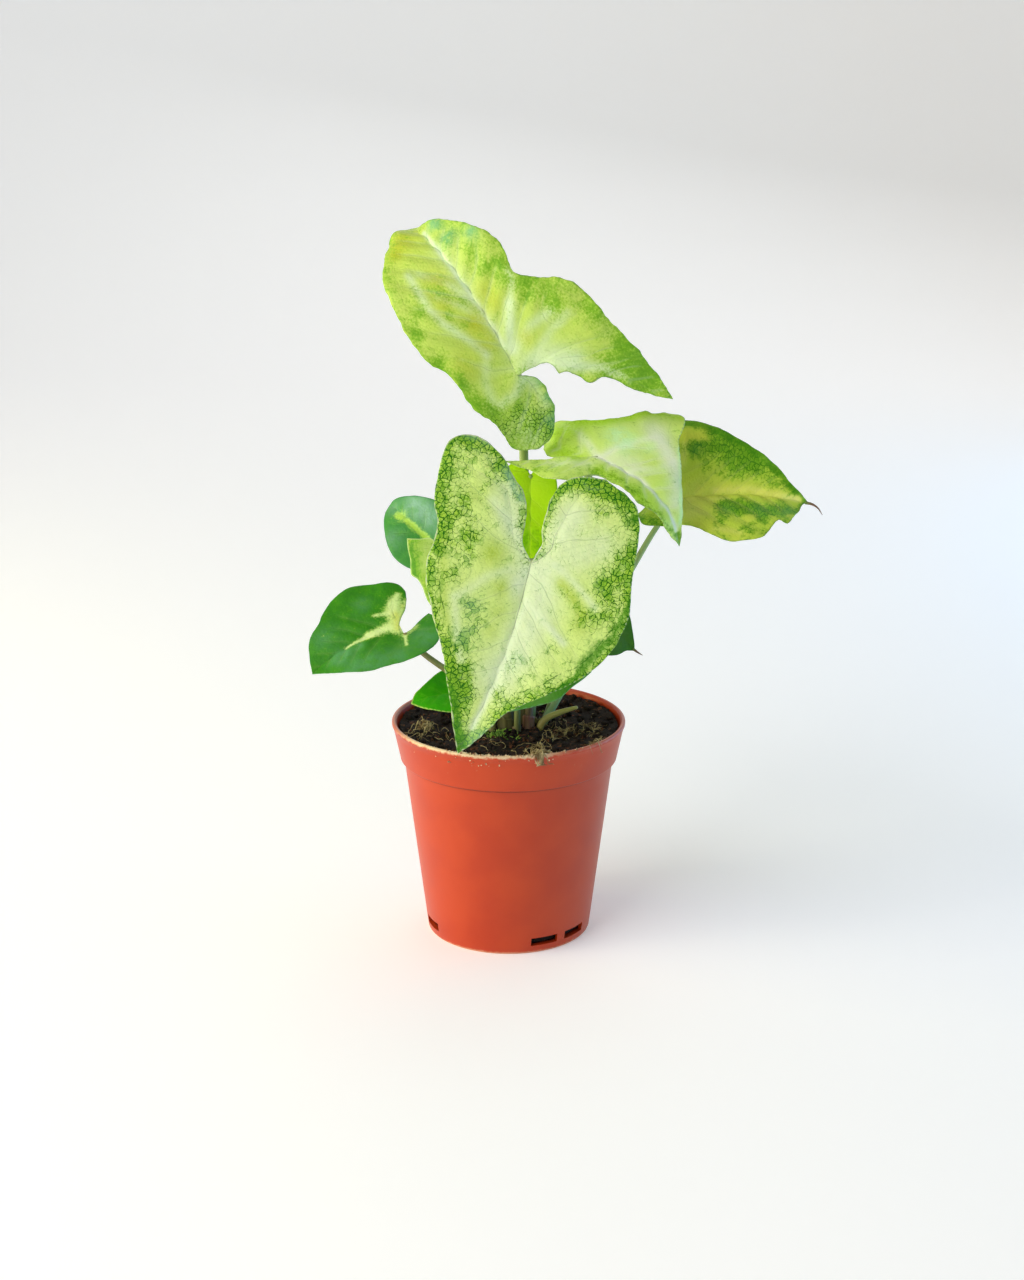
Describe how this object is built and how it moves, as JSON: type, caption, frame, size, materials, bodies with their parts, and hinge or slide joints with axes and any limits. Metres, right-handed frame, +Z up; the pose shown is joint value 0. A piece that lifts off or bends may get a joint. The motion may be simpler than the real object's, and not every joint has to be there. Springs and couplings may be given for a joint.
{
  "type": "potted arrowhead plant",
  "caption": "Small potted arrowhead plant: variegated arrow-shaped leaves on slim stems rising from dark soil in a thin round terracotta-coloured plastic nursery pot.",
  "frame": {"origin": "centre of the pot's foot, on the surface the pot stands on", "axes": "+Z up along the pot's axis, -Y towards the side with the large front leaf, +X to the right seen from there"},
  "size_m": [0.1147, 0.0574, 0.1673],
  "materials": {
    "pot": "smooth semi-matte terracotta-coloured plastic",
    "soil": "crumbly dark potting soil",
    "shoot": "pale yellowish young shoot",
    "stem": "smooth light green leaf stem",
    "leaf_top": "thin satin leaf, yellow-green with green mottling",
    "leaf_front": "thin satin leaf, cream with a green net near the margin",
    "leaf_lime": "thin satin leaf, pale lime with light veins",
    "leaf_right": "thin satin leaf, green with an olive-yellow centre",
    "leaf_bright": "thin satin leaf, bright yellow-green",
    "leaf_mid_left": "thin satin leaf, light green with a green margin",
    "leaf_dark": "thin glossy dark green leaf",
    "leaf_left": "thin satin dark green leaf with a cream centre rib",
    "leaf_low": "thin satin mid green leaf",
    "leaf_low_middle": "thin satin blue-green leaf"
  },
  "bodies": {
    "root": {"pot": "pot", "soil": "soil", "shoot": "shoot", "blade_top": "leaf_top", "blade_front": "leaf_front", "blade_lime": "leaf_lime", "blade_right": "leaf_right", "blade_inner": "leaf_bright", "blade_mid_left": "leaf_mid_left", "blade_back_left": "leaf_dark", "blade_left": "leaf_left", "blade_low_left": "leaf_low", "blade_low_right": "leaf_dark", "blade_low_middle": "leaf_low_middle", "stem_top": "stem", "stem_front": "stem", "stem_lime": "stem", "stem_right": "stem", "stem_inner": "stem", "stem_mid_left": "stem", "stem_back_left": "stem", "stem_left": "stem", "stem_low_left": "stem", "stem_low_right": "stem", "stem_low_middle": "stem"}
  },
  "joints": []
}
